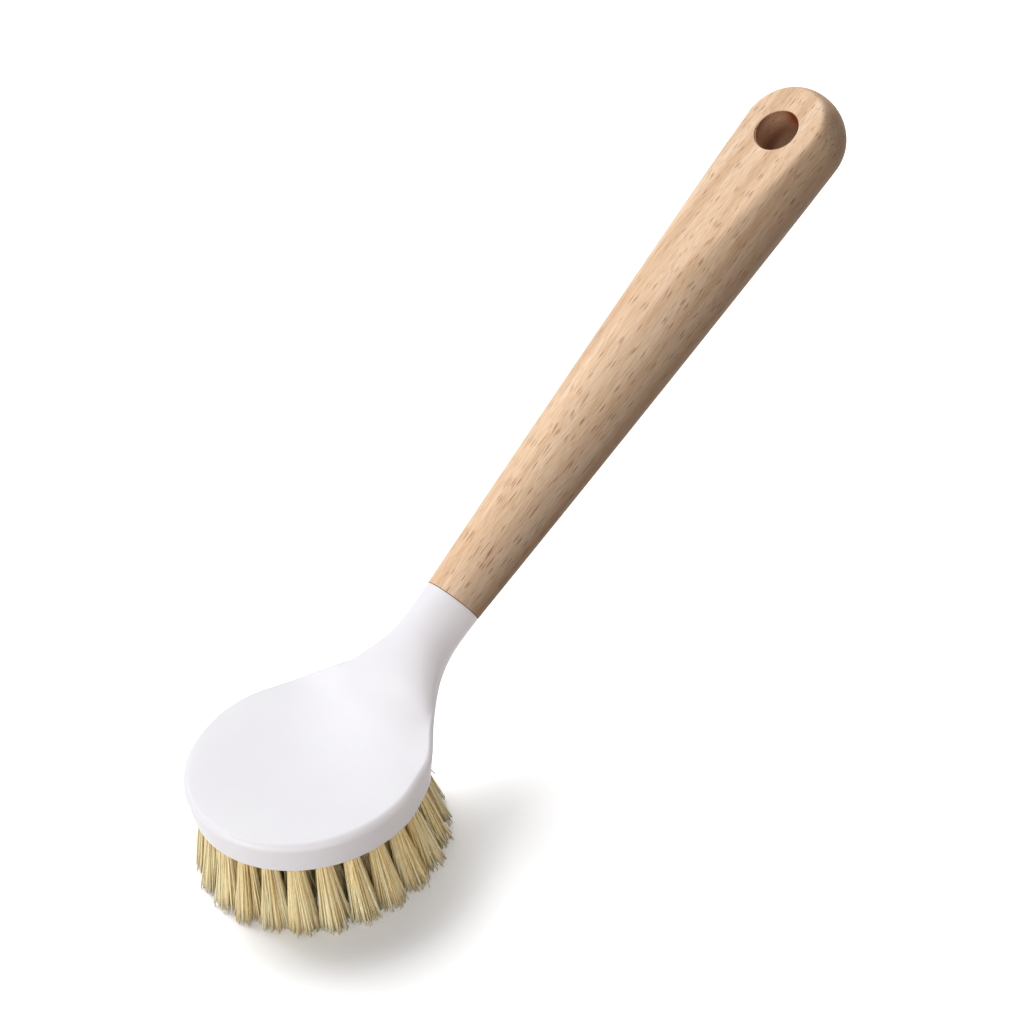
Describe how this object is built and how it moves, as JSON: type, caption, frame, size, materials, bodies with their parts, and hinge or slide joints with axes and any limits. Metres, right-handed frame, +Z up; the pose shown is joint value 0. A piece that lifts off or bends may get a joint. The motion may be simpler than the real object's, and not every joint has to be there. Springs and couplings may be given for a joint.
{
  "type": "dish brush",
  "caption": "Dish brush with a turned wooden handle, flattened at its holed end, set in a white moulded head with a round plate of trimmed plant-fibre tufts that fan outwards.",
  "frame": {"origin": "under the middle of the round head, on the flat face that the trimmed bristle tips make", "axes": "+X towards the end of the handle, +Z up out of the top of the head, mirror plane Y = 0"},
  "size_m": [0.2454, 0.0688, 0.1291],
  "materials": {
    "beech": "sanded, unvarnished beech",
    "white_plastic": "satin white moulded plastic",
    "fibre": "cream plant fibre, cut at the tips",
    "anchor_wire": "flat drawn wire"
  },
  "bodies": {
    "root": {"handle": "beech", "brush_head": "white_plastic", "anchor_staples": "anchor_wire", "tuft_centre": "fibre", "tuft_ring1_01": "fibre", "tuft_ring1_02": "fibre", "tuft_ring1_03": "fibre", "tuft_ring1_04": "fibre", "tuft_ring1_05": "fibre", "tuft_ring2_01": "fibre", "tuft_ring2_02": "fibre", "tuft_ring2_03": "fibre", "tuft_ring2_04": "fibre", "tuft_ring2_05": "fibre", "tuft_ring2_06": "fibre", "tuft_ring2_07": "fibre", "tuft_ring2_08": "fibre", "tuft_ring2_09": "fibre", "tuft_ring2_10": "fibre", "tuft_ring3_01": "fibre", "tuft_ring3_02": "fibre", "tuft_ring3_03": "fibre", "tuft_ring3_04": "fibre", "tuft_ring3_05": "fibre", "tuft_ring3_06": "fibre", "tuft_ring3_07": "fibre", "tuft_ring3_08": "fibre", "tuft_ring3_09": "fibre", "tuft_ring3_10": "fibre", "tuft_ring3_11": "fibre", "tuft_ring3_12": "fibre", "tuft_ring3_13": "fibre", "tuft_ring3_14": "fibre", "tuft_ring3_15": "fibre", "tuft_ring3_16": "fibre", "tuft_ring4_01": "fibre", "tuft_ring4_02": "fibre", "tuft_ring4_03": "fibre", "tuft_ring4_04": "fibre", "tuft_ring4_05": "fibre", "tuft_ring4_06": "fibre", "tuft_ring4_07": "fibre", "tuft_ring4_08": "fibre", "tuft_ring4_09": "fibre", "tuft_ring4_10": "fibre", "tuft_ring4_11": "fibre", "tuft_ring4_12": "fibre", "tuft_ring4_13": "fibre", "tuft_ring4_14": "fibre", "tuft_ring4_15": "fibre", "tuft_ring4_16": "fibre", "tuft_ring4_17": "fibre", "tuft_ring4_18": "fibre", "tuft_ring4_19": "fibre", "tuft_ring4_20": "fibre", "tuft_ring4_21": "fibre", "tuft_ring4_22": "fibre", "tuft_ring4_23": "fibre", "tuft_ring4_24": "fibre"}
  },
  "joints": []
}
